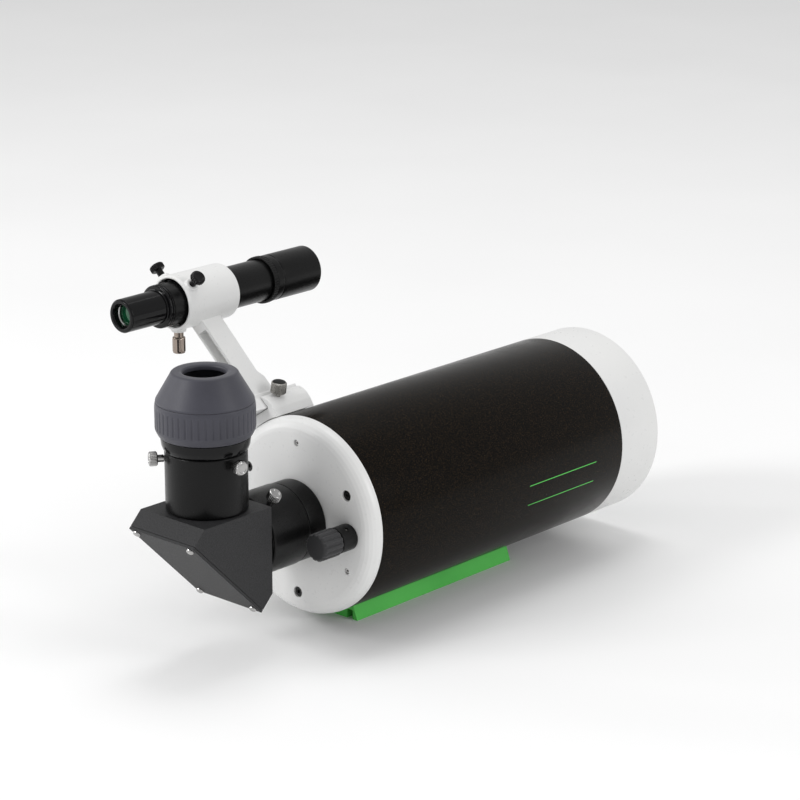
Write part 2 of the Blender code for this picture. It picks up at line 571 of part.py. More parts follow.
def build():
    clear_scene()
    axis = new_empty("optical_axis", (0.0, -BAR_MIDDLE_Y * MM, -BAR_BOTTOM_Z * MM))
    station = new_empty("finder_station", (0.0, 0.0, 0.0), (0.0, math.radians(90 - FINDER_ANGLE), 0.0), axis)
    build_tube(axis)
    build_rear_cell(axis)
    build_collimation(axis)
    build_corrector(axis)
    build_primary(axis)
    build_focuser(axis)
    build_visual_back(axis)
    build_diagonal(axis)
    build_holder(axis)
    build_eyepiece(axis)
    build_dovetail(axis)
    build_finder_shoe(station)
    build_finder_bracket(station)
    build_finder(station)


build()
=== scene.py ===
"""Looks of the Maksutov telescope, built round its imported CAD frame.

Positions are given as on the CAD model: millimetres from the point where the optical
axis meets the seam between the rear cell and the tube, with +Y forward to the sky.
"""
import json
import math

import bmesh
import bpy
from mathutils import Matrix, Vector

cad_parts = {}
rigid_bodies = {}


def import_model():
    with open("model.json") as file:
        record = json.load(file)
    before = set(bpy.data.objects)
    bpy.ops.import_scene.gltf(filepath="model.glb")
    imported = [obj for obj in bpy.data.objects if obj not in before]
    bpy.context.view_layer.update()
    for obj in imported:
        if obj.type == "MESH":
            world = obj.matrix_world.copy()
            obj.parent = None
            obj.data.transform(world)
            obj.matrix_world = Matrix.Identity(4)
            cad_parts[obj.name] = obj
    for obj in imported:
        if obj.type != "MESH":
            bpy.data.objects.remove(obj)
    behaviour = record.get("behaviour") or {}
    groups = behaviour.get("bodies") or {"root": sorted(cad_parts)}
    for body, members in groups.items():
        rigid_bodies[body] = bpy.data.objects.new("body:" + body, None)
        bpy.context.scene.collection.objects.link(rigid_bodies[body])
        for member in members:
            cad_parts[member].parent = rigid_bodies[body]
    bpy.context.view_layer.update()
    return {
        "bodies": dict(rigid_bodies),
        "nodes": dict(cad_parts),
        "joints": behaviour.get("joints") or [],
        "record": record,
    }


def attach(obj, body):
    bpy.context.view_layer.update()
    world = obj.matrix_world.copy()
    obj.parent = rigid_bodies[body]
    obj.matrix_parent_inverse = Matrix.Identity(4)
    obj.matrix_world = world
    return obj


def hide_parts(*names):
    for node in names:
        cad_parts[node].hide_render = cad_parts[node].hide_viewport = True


MM = 0.001
AXIS_START = Vector((0.0, -113.0, 84.3))
FORWARD = Vector((0.0, 1.0, 0.0))
UP = Vector((0.0, 0.0, 1.0))

# Shared dimensions of the CAD model
TUBE_RADIUS = 73.0
KNOB_CENTRE = Vector((50.8, 0.0, -1.3))
EYEPIECE_FOOT = Vector((0.0, -99.7, 0.0))
COLLIMATION_RADIUS = 56.3
PULL_SCREW_ANGLES = {1: 30.0, 2: 150.0, 3: 270.0}
PUSH_SCREW_ANGLES = {1: 90.0, 2: 210.0, 3: 330.0}
BACK_SCREW_ANGLES = {"top": 57.0, "left": 177.0}
HOLDER_SCREW_ANGLES = {"right": -5.4, "front": 114.6, "left": 234.6}
HOLDER_SCREW_Z = 68.7
FINDER_ANGLE = 124.0
FINDER_HEIGHT = 176.3
FINDER_SCREW_Y = -31.0
ALIGNMENT_SCREW_ANGLES = {"right": 45.0, "left": 135.0}
PLUNGER_ANGLE = 270.0
SHOE_SCREW_BASE = Vector((13.2, 8.0, 87.0))
SHOE_SCREW_ANGLE = 47.0
HOLDER_RADIUS = 28.7

# Details that only scene.py adds; a stripe is (name, angle, start, end)
COVER_OFFSET, COVER_MIDDLE = 124.5 / math.sqrt(2.0), -70.6
COVER_SCREW_X, COVER_SCREW_REACH = 26.5, 41.0
STRIPES = (("stripe_upper", -2.1, 160.5, 239.0), ("stripe_lower", -14.6, 161.0, 238.5))
STRIPE_SPREAD = 0.55

# Camera
CAMERA_LENS_MM = 125.2
CAMERA_TARGET = Vector((0.0645, -0.0864, 0.1773))
CAMERA_DISTANCE = 1.94675
CAMERA_AZIMUTH, CAMERA_ELEVATION = 42.43, 17.12

# Studio: a light is (name, place, size, power), in metres and watts
WORLD_STRENGTH = 0.62
LIGHT_TARGET = Vector((0.0, -0.05, 0.12))
LIGHTS = (
    ("key", (-1.1, -2.3, 1.7), (0.8, 0.8), 30.0),
    ("side", (2.4, 0.7, 1.3), (0.5, 1.4), 15.0),
    ("top", (-0.3, 0.5, 2.6), (1.2, 1.2), 14.0),
    ("left strip", (-2.2, -1.3, 0.8), (0.25, 1.5), 9.0),
)


def across(angle):
    """Unit direction across the optical axis, from +X towards +Z."""
    return Vector((math.cos(math.radians(angle)), 0.0, math.sin(math.radians(angle))))


def around(angle):
    """Unit direction around the eyepiece, from +X towards +Y."""
    return Vector((math.cos(math.radians(angle)), math.sin(math.radians(angle)), 0.0))


FINDER_CENTRE = across(FINDER_ANGLE) * FINDER_HEIGHT


def placed(origin, direction):
    """Matrix that puts local (0, 0, 0) at a CAD point and turns local +Z to direction."""
    turn = Vector(direction).to_track_quat("Z", "Y").to_matrix().to_4x4()
    return Matrix.Translation((AXIS_START + Vector(origin)) * MM) @ turn


def station():
    """Matrix of the finder's own frame, whose +Z is radial at the finder."""
    turn = Matrix.Rotation(math.radians(90.0 - FINDER_ANGLE), 4, "Y")
    return Matrix.Translation(AXIS_START * MM) @ turn


# ---------------------------------------------------------------- materials


class Graph:
    """Small helper round a material's node tree."""

    def __init__(self, name):
        self.material = bpy.data.materials.new(name)
        self.material.use_nodes = True
        self.nodes = self.material.node_tree.nodes
        self.links = self.material.node_tree.links
        self.shader = self.nodes["Principled BSDF"]
        self.place = self.nodes.new("ShaderNodeTexCoord").outputs["Object"]

    def stretched(self, scale):
        mapping = self.nodes.new("ShaderNodeMapping")
        mapping.inputs["Scale"].default_value = scale
        self.links.new(self.place, mapping.inputs["Vector"])
        return mapping.outputs["Vector"]

    def noise(self, scale, detail=3.0, vector=None):
        node = self.nodes.new("ShaderNodeTexNoise")
        node.inputs["Scale"].default_value = scale
        node.inputs["Detail"].default_value = detail
        self.links.new(vector or self.place, node.inputs["Vector"])
        return node.outputs["Fac"]

    def cells(self, scale, feature="F1"):
        node = self.nodes.new("ShaderNodeTexVoronoi")
        node.feature = feature
        node.inputs["Scale"].default_value = scale
        self.links.new(self.place, node.inputs["Vector"])
        return node

    def ramp(self, factor, stops):
        node = self.nodes.new("ShaderNodeValToRGB")
        elements = node.color_ramp.elements
        while len(elements) < len(stops):
            elements.new(0.5)
        for element, (position, colour) in zip(elements, stops):
            element.position = position
            element.color = (*colour, 1.0)
        self.links.new(factor, node.inputs["Fac"])
        return node.outputs["Color"]

    def spread(self, factor, low, high):
        node = self.nodes.new("ShaderNodeMapRange")
        node.inputs["From Min"].default_value = 0.3
        node.inputs["From Max"].default_value = 0.7
        node.inputs["To Min"].default_value = low
        node.inputs["To Max"].default_value = high
        self.links.new(factor, node.inputs["Value"])
        return node.outputs["Result"]

    def bump(self, height, distance_mm, strength=1.0):
        node = self.nodes.new("ShaderNodeBump")
        node.inputs["Strength"].default_value = strength
        node.inputs["Distance"].default_value = distance_mm * MM
        self.links.new(height, node.inputs["Height"])
        self.links.new(node.outputs["Normal"], self.shader.inputs["Normal"])

    def set(self, **values):
        for key, value in values.items():
            self.shader.inputs[key.replace("_", " ")].default_value = value

    def feed(self, socket, output):
        self.links.new(output, self.shader.inputs[socket])


def coated(name, dark, light, rough, metallic=0.0, specular=0.5, grain=900.0, depth=0.01,
           stretch=(1.0, 1.0, 1.0)):
    """A paint or metal whose tone, roughness and surface vary slightly."""
    graph = Graph(name)
    graph.set(Metallic=metallic, Specular_IOR_Level=specular)
    broad = graph.noise(14.0, 4.0)
    fine = graph.noise(grain, 3.0, graph.stretched(stretch))
    graph.feed("Base Color", graph.ramp(broad, [(0.3, dark), (0.7, light)]))
    graph.feed("Roughness", graph.spread(fine, *rough))
    graph.bump(fine, depth)
    return graph.material


def fleck_paint():
    """Gloss black paint with fine warm metal flecks."""
    graph = Graph("black_fleck_paint")
    graph.set(Specular_IOR_Level=0.07)
    flecks = graph.cells(2600.0).outputs["Color"]
    stops = [(0.0, (0.0022, 0.0022, 0.0019)), (0.58, (0.003, 0.0026, 0.0021)),
             (0.72, (0.009, 0.006, 0.0035)), (0.88, (0.032, 0.02, 0.01))]
    graph.feed("Base Color", graph.ramp(flecks, stops))
    graph.feed("Roughness", graph.spread(graph.noise(60.0, 5.0), 0.2, 0.27))
    graph.bump(graph.noise(700.0, 2.0), 0.004)
    return graph.material


def wrinkle_paint():
    """Black paint with a leathery wrinkle."""
    graph = Graph("black_wrinkle_paint")
    graph.set(Specular_IOR_Level=0.3)
    wrinkles = graph.cells(820.0, "SMOOTH_F1").outputs["Distance"]
    tone = graph.noise(1300.0, 4.0)
    graph.feed("Base Color", graph.ramp(tone, [(0.3, (0.007, 0.007, 0.0075)), (0.72, (0.04, 0.04, 0.042))]))
    graph.feed("Roughness", graph.spread(tone, 0.42, 0.7))
    graph.bump(wrinkles, 0.16, 0.9)
    return graph.material


def rubber(name, dark, light):
    """Soft matt rubber with a fine grain."""
    graph = Graph(name)
    graph.set(Specular_IOR_Level=0.4, Sheen_Weight=0.12, Sheen_Roughness=0.5)
    broad = graph.noise(30.0, 4.0)
    graph.feed("Base Color", graph.ramp(broad, [(0.3, dark), (0.7, light)]))
    grain = graph.noise(1600.0, 3.0)
    graph.feed("Roughness", graph.spread(grain, 0.42, 0.56))
    graph.bump(grain, 0.03)
    return graph.material


def glass(name, reflection_tint, transmission):
    """Coated glass: clear where transmission is high, otherwise a dark lens; the tint is a painted
    reflection of the coating's green sheen, put into the base colour as well as the coat.
    """
    graph = Graph(name)
    graph.set(Transmission_Weight=transmission, IOR=1.5, Specular_IOR_Level=0.6, Coat_Weight=0.4)
    graph.set(Coat_Tint=(*reflection_tint, 1.0))
    smear = graph.noise(45.0, 3.0)
    # Base colour is a painted reflection: the coating's green tint, pale on clear glass and dark on the
    # dark lenses.
    if transmission > 0.5:
        light = tuple(min(1.0, 0.55 + 0.45 * channel) for channel in reflection_tint)
        dark = tuple(0.92 * channel for channel in light)
    else:
        light = tuple(0.12 * channel for channel in reflection_tint)
        dark = tuple(0.05 * channel for channel in reflection_tint)
    graph.feed("Base Color", graph.ramp(smear, [(0.2, dark), (0.8, light)]))
    graph.feed("Roughness", graph.spread(smear, 0.01, 0.035))
    return graph.material


def make_materials():
    """One material for each slot in the record."""
    return {
        "black_gloss_paint": coated("black_gloss", (0.0025, 0.0025, 0.0028), (0.004, 0.004, 0.0045),
                                    (0.1, 0.15), specular=0.22, depth=0.002),
        "white_paint": coated("white_paint", (0.75, 0.752, 0.748), (0.785, 0.785, 0.775), (0.27, 0.31),
                              specular=0.4, grain=300.0, depth=0.002),
        "satin_black": coated("satin_black", (0.0022, 0.0022, 0.0023), (0.004, 0.004, 0.0041), (0.26, 0.34),
                              specular=0.2, grain=1500.0, depth=0.004),
        "black_wrinkle_paint": wrinkle_paint(),
        "black_steel": coated("black_steel", (0.01, 0.01, 0.01), (0.03, 0.03, 0.03), (0.3, 0.5),
                              metallic=0.6, depth=0.01),
        "bright_chrome": coated("bright_chrome", (0.36, 0.355, 0.35), (0.52, 0.515, 0.51), (0.12, 0.24),
                                metallic=1.0, depth=0.004),
        "brushed_steel": coated("brushed_steel", (0.3, 0.29, 0.27), (0.44, 0.43, 0.41), (0.22, 0.4),
                                metallic=1.0, depth=0.01, grain=1200.0),
        "brass": coated("brass", (0.5, 0.34, 0.1), (0.65, 0.47, 0.18), (0.2, 0.35), metallic=1.0),
        "green_anodised": coated("green_anodised", (0.07, 0.5, 0.07), (0.1, 0.6, 0.095), (0.28, 0.42),
                                 metallic=0.3, grain=1400.0, depth=0.014, stretch=(1.0, 0.12, 1.0)),
        "grey_rubber": rubber("grey_rubber", (0.036, 0.036, 0.048), (0.05, 0.05, 0.066)),
        "coated_glass": glass("coated_glass", (0.72, 0.9, 0.84), 0.92),
        "silvered_glass": coated("silvered_glass", (0.8, 0.81, 0.82), (0.88, 0.89, 0.9), (0.01, 0.03),
                                 metallic=1.0, depth=0.0005),
    }


# ---------------------------------------------------------------- mesh tools


def softened(profile, size, steps=3):
    """Round every corner of a closed profile that is off the axis."""
    points = [(*p, 0.0)[:3] for p in profile]
    count = len(points)
    result = []
    for index, point in enumerate(points):
        before, after = points[index - 1], points[(index + 1) % count]
        here = Vector(point[:2])
        if point[0] < 1e-6:
            result.append(point)
            continue
        reach_in, reach_out = Vector(before[:2]) - here, Vector(after[:2]) - here
        reach = min(size, 0.42 * reach_in.length, 0.42 * reach_out.length)
        if reach < 0.02 or abs(reach_in.normalized().dot(reach_out.normalized())) > 0.985:
            result.append(point)
            continue
        start = here + reach_in.normalized() * reach
        end = here + reach_out.normalized() * reach
        for step in range(steps + 1):
            t = step / steps
            spot = start * (1 - t) ** 2 + here * (2 * t * (1 - t)) + end * t ** 2
            result.append((max(spot.x, 0.0), spot.y, point[2]))
    return result


def ribs(count, depth, fill=0.2, gain=3.0):
    """Radial offset of flat-topped ribs; fill above 0 widens them."""
    def offset(angle, radius):
        wave = max(-1.0, min(1.0, (math.cos(count * angle) + fill) * gain))
        return depth * (wave - 1.0) / 2
    return offset


def knurls(count, depth):
    """Radial offset of sharp grooves between rounded knurls."""
    def offset(angle, radius):
        return -depth * abs(math.sin(count * angle / 2)) ** 0.7
    return offset


def hexagon(angle, radius):
    """Offset that turns a circle into a hexagon with the same corners."""
    local = (angle % (math.pi / 3)) - math.pi / 6
    return radius * (math.cos(math.pi / 6) / math.cos(local) - 1.0)


def lathe_mesh(name, profile, sides=96, soft=0.3, shape=None, sharp=48.0):
    """Turn a closed (radius, height[, shaped]) profile in mm about local Z."""
    work = bmesh.new()
    rings = []
    for radius, height, weight in softened(profile, soft):
        if radius < 1e-6:
            rings.append([work.verts.new((0.0, 0.0, height * MM))])
            continue
        ring = []
        for step in range(sides):
            angle = 2 * math.pi * step / sides
            reach = radius + (weight * shape(angle, radius) if weight else 0.0)
            spot = (reach * math.cos(angle), reach * math.sin(angle), height)
            ring.append(work.verts.new([value * MM for value in spot]))
        rings.append(ring)
    pairs = list(zip(rings, rings[1:]))
    if len(rings[0]) > 1:
        pairs.append((rings[-1], rings[0]))
    for low, high in pairs:
        for step in range(sides):
            after = (step + 1) % sides
            if len(low) == 1:
                work.faces.new((low[0], high[after], high[step]))
            elif len(high) == 1:
                work.faces.new((low[step], low[after], high[0]))
            else:
                work.faces.new((low[step], low[after], high[after], high[step]))
    bmesh.ops.recalc_face_normals(work, faces=work.faces)
    mesh = bpy.data.meshes.new(name)
    work.to_mesh(mesh)
    work.free()
    mesh.shade_smooth()
    mesh.set_sharp_from_angle(angle=math.radians(sharp))
    return mesh


def prism_mesh(name, outline, start, end, along):
    """Extrude an outline in mm: (y, z) points along X or (x, z) points along Y."""
    work = bmesh.new()
    layers = []
    for depth in (start, end):
        if along == "X":
            layers.append([work.verts.new((depth * MM, a * MM, b * MM)) for a, b in outline])
        else:
            layers.append([work.verts.new((a * MM, depth * MM, b * MM)) for a, b in outline])
    work.faces.new(layers[0])
    work.faces.new(layers[1])
    for step in range(len(outline)):
        after = (step + 1) % len(outline)
        work.faces.new((layers[0][step], layers[0][after], layers[1][after], layers[1][step]))
    bmesh.ops.recalc_face_normals(work, faces=work.faces)
    mesh = bpy.data.meshes.new(name)
    work.to_mesh(mesh)
    work.free()
    return mesh


def new_object(name, mesh, matrix):
    """Put a mesh into the scene at a matrix."""
    item = bpy.data.objects.new(name, mesh)
    bpy.context.scene.collection.objects.link(item)
    item.matrix_world = matrix
    return item


def bake_modifiers(item):
    """Replace an object's mesh with its evaluated result and drop the modifiers."""
    bpy.context.view_layer.update()
    evaluated = item.evaluated_get(bpy.context.evaluated_depsgraph_get())
    mesh = bpy.data.meshes.new_from_object(evaluated)
    item.modifiers.clear()
    item.data = mesh
    return mesh


def cut_holes(item, cutters):
    """Subtract each cutter from an object, then delete the cutters."""
    for cutter in cutters:
        modifier = item.modifiers.new("hole", "BOOLEAN")
        modifier.operation = "DIFFERENCE"
        modifier.solver = "EXACT"
        modifier.object = cutter
    mesh = bake_modifiers(item)
    mesh.shade_smooth()
    mesh.set_sharp_from_angle(angle=math.radians(40.0))
    for cutter in cutters:
        bpy.data.objects.remove(cutter, do_unlink=True)


def fused(name, parts, voxel_mm, smoothing):
    """Melt overlapping closed meshes, given as (mesh, matrix), into one cast shape."""
    work = bmesh.new()
    for mesh, matrix in parts:
        mesh.transform(matrix)
        work.from_mesh(mesh)
    mesh = bpy.data.meshes.new(name)
    work.to_mesh(mesh)
    work.free()
    item = new_object(name, mesh, Matrix.Identity(4))
    remesh = item.modifiers.new("melt", "REMESH")
    remesh.mode = "VOXEL"
    remesh.voxel_size = voxel_mm * MM
    smooth = item.modifiers.new("fillet", "SMOOTH")
    smooth.factor = 0.5
    smooth.iterations = smoothing
    bake_modifiers(item).shade_smooth()
    return item


def bevel_edges(item, width_mm):
    """Break the sharp edges of a CAD object that keeps its shape."""
    bevel = item.modifiers.new("edge", "BEVEL")
    bevel.width = width_mm * MM
    bevel.segments = 2
    bevel.limit_method = "ANGLE"
    bevel.angle_limit = math.radians(35.0)


class Workshop:
    """Finishes each piece: material, the body it rides on and the nodes it stands for."""

    def __init__(self, frame, materials):
        self.materials = materials
        self.slots = {entry["node"]: entry["material_slot"] for entry in frame["record"]["subparts"]}
        self.bodies = {}
        for body, nodes in frame["record"]["behaviour"]["bodies"].items():
            for node in nodes:
                self.bodies[node] = body

    def finish(self, item, node, extra_nodes=(), material=None, replace=True):
        slot = self.slots[node]
        item.data.materials.clear()
        item.data.materials.append(material or self.materials[slot])
        if replace:
            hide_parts(node, *extra_nodes)
        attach(item, self.bodies[node])
        return item

    def turn(self, node, profile, origin=(0, 0, 0), direction=FORWARD, name=None, material=None,
             replace=True, **options):
        """A turned piece that stands for a CAD node or is added to it."""
        label = name or f"{node}_fine"
        item = new_object(label, lathe_mesh(label, profile, **options), placed(origin, direction))
        return self.finish(item, node, material=material, replace=replace)


# ---------------------------------------------------------------- main tube


def build_tube(shop):
    shop.turn("tube", [(71.5, 0.2), (73, 0.2), (73, 270.9), (71.5, 270.9)], sides=160, soft=0.25,
              material=fleck_paint())
    front = [(71.1, 256), (71.1, 271.1), (73, 271.1), (73, 315.5), (71.8, 317.1), (69.8, 317.4),
             (67.2, 316.6), (66.6, 315), (66.6, 282), (62.8, 282), (62.8, 256)]
    shop.turn("front_cell", front, sides=160, soft=0.5)
    shop.turn("corrector_retaining_ring", [(62.8, 293.4), (66.2, 293.4), (66.2, 297.4), (62.8, 297.4)],
              sides=128)


def build_rear_cell(shop):
    profile = [(73, -0.1), (73, -3), (72.4, -5.8), (71, -8.3), (69, -10.1), (66.4, -11.4), (63.5, -12),
               (24, -12), (24, -5), (67.5, -5), (67.5, 14), (71.1, 14), (71.1, -0.1)]
    cell = new_object("rear_cell_fine", lathe_mesh("rear_cell_fine", profile, sides=160, soft=0.5),
                      placed((0, 0, 0), FORWARD))

    def cutter(radius, start, end, centre, flare=0.0):
        outline = [(0, start), (radius + flare, start), (radius, start + flare), (radius, end), (0, end)]
        mesh = lathe_mesh("cutter", outline, sides=40, soft=0.0)
        return new_object("cutter", mesh, placed(centre, FORWARD))

    cutters = [cutter(6.3, -13, -4, KNOB_CENTRE)]
    for angle in PULL_SCREW_ANGLES.values():
        centre = across(angle) * COLLIMATION_RADIUS
        cutters.append(cutter(4.0, -12.2, -8, centre, 0.4))
        cutters.append(cutter(2.3, -9, -4, centre))
    for angle in PUSH_SCREW_ANGLES.values():
        cutters.append(cutter(2.3, -12.2, -4, across(angle) * COLLIMATION_RADIUS, 0.4))
    cut_holes(cell, cutters)
    shop.finish(cell, "rear_cell")

    for number, angle in PULL_SCREW_ANGLES.items():
        centre = across(angle) * COLLIMATION_RADIUS
        profile = [(0, -9.2), (1.7, -9.2, 1), (1.7, -11, 1), (3.5, -11), (3.5, -8.3), (1.9, -8.3),
                   (1.9, 2), (0, 2)]
        shop.turn(f"collimation_pull_screw_{number}", profile, centre, sides=24, soft=0.2, shape=hexagon)
    for number, angle in PUSH_SCREW_ANGLES.items():
        centre = across(angle) * COLLIMATION_RADIUS
        profile = [(0, -9.6), (1.0, -9.6, 1), (1.0, -10.8, 1), (1.9, -10.8), (1.9, -2.1), (0, -2.1)]
        shop.turn(f"collimation_push_screw_{number}", profile, centre, sides=24, soft=0.12, shape=hexagon)


def build_focuser(shop):
    collar = [(0, -44.0), (7.5, -44.0), (7.5, -26.2), (9.2, -26.2), (9.6, -25.6), (9.6, -12.9),
              (9.2, -12.3), (3.4, -12.3), (3.4, -42), (0, -42)]
    core = new_object("focus_knob_core_fine", lathe_mesh("focus_knob_core_fine", collar, sides=72),
                      placed(KNOB_CENTRE, FORWARD))
    hole_centre = KNOB_CENTRE + Vector((0, -19, 0))
    drill = lathe_mesh("drill", [(0, 4.6), (1.5, 4.6), (1.5, 12), (0, 12)], sides=24, soft=0.0)
    cut_holes(core, [new_object("drill", drill, placed(hole_centre, across(60.0)))])
    shop.finish(core, "focus_knob_core")
    grip = [(0, -44.2), (7.8, -44.2), (7.8, -26.5), (9.1, -26.6), (9.7, -27.2, 0.6), (10.3, -28.4, 1),
            (10.2, -43.9, 1), (9.5, -45.1, 0.6), (8.2, -45.6), (0, -45.6)]
    shop.turn("focus_knob_grip", grip, KNOB_CENTRE, sides=14 * 12, soft=0.35,
              shape=ribs(14, 1.0, 0.35, 2.2), sharp=60.0,
              material=rubber("knob_rubber", (0.011, 0.011, 0.012), (0.02, 0.02, 0.022)))


# ---------------------------------------------------------------- thumbscrews


def thumbscrew(shop, node, base, direction, tip, neck, head, radius=5.1, shank=1.9, count=30,
               material=None):
    """Knurled thumbscrew with a dished end face; heights run outward from base."""
    top = neck + head
    profile = [(0, -tip), (shank - 0.3, -tip), (shank, -tip + 0.3), (shank, 0.6), (2.6, 0.6),
               (2.6, neck), (radius - 0.9, neck), (radius, neck + 0.7, 1), (radius, top - 0.9, 1),
               (radius - 0.7, top - 0.15), (radius - 1.2, top), (radius - 1.9, top),
               (radius - 2.2, top - 0.35), (0, top - 0.35)]
    shop.turn(node, profile, base, direction, sides=count * 6, soft=0.22, shape=knurls(count, 0.42),
              material=material, sharp=40.0)


# ---------------------------------------------------------------- back, diagonal, eyepiece


def build_visual_back(shop):
    port = [(20, -28), (28.9, -28), (29.5, -27.4), (29.5, -13.4), (29.0, -12.3), (23.6, -12.3),
            (23.6, -2.1), (20, -2.1)]
    shop.turn("rear_port", port, sides=128)
    back = [(25.7, -64), (29.2, -64), (30, -63.2), (30, -29.4), (29.3, -28.4), (21, -28.4), (21, -34),
            (25.7, -34)]
    shop.turn("visual_back", back, sides=128, soft=0.4)
    for side, angle in BACK_SCREW_ANGLES.items():
        direction = across(angle)
        base = direction * 30.0 + Vector((0, -56, 0))
        thumbscrew(shop, f"visual_back_screw_{side}", base, direction, 3.9, 5.6, 7.0, 4.9)
    nose = [(22.5, -68.6), (27.5, -68.6), (27.5, -64.3), (25.3, -64.3), (25.3, -60), (24.4, -59),
            (24.4, -51), (25.3, -50), (25.3, -36.4), (24.7, -35.8), (22.5, -35.8)]
    shop.turn("diagonal_nosepiece", nose, sides=128)


def build_cover_screws(shop):
    """Four pan-head screws near the corners of the sloping cover."""
    outward = Vector((0.0, -1.0, -1.0)).normalized()
    along = Vector((0.0, 1.0, -1.0)).normalized()
    centre = outward * COVER_OFFSET + along * COVER_MIDDLE
    dome = [(0, -0.6), (2.6, -0.6), (2.9, 0.2), (2.7, 1.1), (2.0, 1.9), (1.0, 2.2), (0, 2.3)]
    for row, shift in (("rear", -COVER_SCREW_REACH), ("low", COVER_SCREW_REACH)):
        for side, x in (("left", -COVER_SCREW_X), ("right", COVER_SCREW_X)):
            spot = centre + along * shift + Vector((x, 0.0, 0.0))
            shop.turn("diagonal_cover", dome, spot, outward, name=f"cover_screw_{row}_{side}",
                      replace=False, sides=36, soft=0.2, material=shop.materials["bright_chrome"])


def build_stripes(shop):
    """Two thin green lines along the tube's right side."""
    for label, angle, start, end in STRIPES:
        work = bmesh.new()
        corners = []
        for radius in (TUBE_RADIUS - 0.05, TUBE_RADIUS + 0.06):
            for step in range(4):
                turn = across(angle + (step / 3 - 0.5) * STRIPE_SPREAD) * radius
                ends = [AXIS_START + turn + Vector((0, y, 0)) for y in (start, end)]
                corners.append([work.verts.new(spot * MM) for spot in ends])
        loop = corners[:4] + corners[:3:-1]
        for index, pair in enumerate(loop):
            following = loop[(index + 1) % len(loop)]
            work.faces.new((pair[0], pair[1], following[1], following[0]))
        work.faces.new([pair[0] for pair in loop])
        work.faces.new([pair[1] for pair in loop])
        bmesh.ops.recalc_face_normals(work, faces=work.faces)
        mesh = bpy.data.meshes.new(label)
        work.to_mesh(mesh)
        work.free()
        stripe = new_object(label, mesh, Matrix.Identity(4))
        stripe.data.materials.append(shop.materials["green_anodised"])
        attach(stripe, "tube_assembly")


def build_holder(shop):
    holder = [(25.7, 74), (27.6, 74), (HOLDER_RADIUS, 73.0), (HOLDER_RADIUS, 56), (HOLDER_RADIUS, 31.9),
              (28.1, 31.1), (22, 31.1), (22, 36), (25.7, 36), (25.7, 65.4), (27.2, 65.4), (27.2, 72.0),
              (25.7, 72.0)]
    shop.turn("eyepiece_holder", holder, EYEPIECE_FOOT, UP, sides=128, soft=0.4)
    for side, angle in HOLDER_SCREW_ANGLES.items():
        direction = around(angle)
        base = EYEPIECE_FOOT + direction * HOLDER_RADIUS + UP * HOLDER_SCREW_Z
        thumbscrew(shop, f"holder_screw_{side}", base, direction, 1.4, 5.0, 6.0)


def build_eyepiece(shop):
    body = [(22.3, 40), (25.3, 40), (25.3, 48), (24.4, 49.5), (24.4, 56), (25.3, 57.5), (25.3, 74.4),
            (29, 74.4), (29.6, 75.2), (30.6, 78), (31.4, 83.9), (29, 83.9), (29, 107.2), (17.6, 107.2),
            (17.6, 94), (15, 94), (15, 75), (22.3, 75)]
    shop.turn("eyepiece_body", body, EYEPIECE_FOOT, UP, sides=128, soft=0.4)
    grip = [(29.4, 84.3), (31.8, 84.3), (32.6, 85), (33.7, 87.2), (34.4, 88.6), (34.7, 90.0),
            (34.7, 90.6, 1), (34.7, 104.0, 1), (34.7, 104.6), (34.5, 106.5), (34.1, 108.2), (29.4, 108.2)]
    shop.turn("eyepiece_grip_ring", grip, EYEPIECE_FOOT, UP, sides=46 * 10, soft=0.3,
              shape=ribs(46, 0.5, 0.7, 4.0), sharp=60.0)
    cup = [(29.5, 108.3), (34.0, 108.3), (34.0, 109.6), (24.0, 126.8), (23.2, 128.4), (22.0, 129.3),
           (18.2, 129.4), (16.0, 129.0), (15.0, 127.8), (15, 125.2), (20.5, 124), (29.5, 111)]
    shop.turn("eyecup", cup, EYEPIECE_FOOT, UP, sides=128, soft=0.5)
    dark = glass("eye_lens_glass", (0.25, 0.5, 0.45), 0.3)
    dome = [(0, 94.4), (17.1, 94.4), (17.1, 101), (12.8, 101.9), (8.5, 102.5), (4.3, 102.9), (0, 103)]
    shop.turn("eyepiece_eye_lens", dome, EYEPIECE_FOOT, UP, sides=96, soft=0.0, material=dark)


# ---------------------------------------------------------------- dovetail and finder


def bevel_plain_nodes(frame):
    """Soften the CAD pieces whose shape is already right."""
    for node in ("diagonal_housing", "diagonal_cover"):
        bevel_edges(frame["nodes"][node], 0.55)
    bevel_edges(frame["nodes"]["dovetail_bar"], 0.4)


def build_finder_shoe(shop):
    half = 16.0
    saddle = []
    for step in range(17):
        x = half - 2 * half * step / 16
        saddle.append((x, math.sqrt(73.3 ** 2 - x ** 2)))
    left = [(-16.2, 78), (-15.4, 82.5), (-13.6, 86.5), (-11, 89.4), (-9.4, 90.4), (-8.2, 90.4),
            (-11.2, 80.6)]
    right = [(-x, z) for x, z in reversed(left)]
    body = prism_mesh("shoe", saddle + left + right, -4.0, 34.0, "Y")
    shoe = fused("finder_shoe_fine", [(body, station())], 0.38, 2)
    shop.finish(shoe, "finder_shoe")
    turn = Matrix.Rotation(math.radians(90.0 - FINDER_ANGLE), 3, "Y")
    base, direction = turn @ SHOE_SCREW_BASE, turn @ across(SHOE_SCREW_ANGLE)
    thumbscrew(shop, "finder_shoe_screw", base, direction, 3.2, 2.0, 8.8, 5.7, count=34)
    cap = [(0, 10.2), (4.7, 10.2), (4.7, 10.9), (0, 11.0)]
    shop.turn("finder_shoe_screw", cap, base, direction, name="finder_shoe_screw_cap",
              replace=False, sides=48, soft=0.15, material=shop.materials["black_steel"])


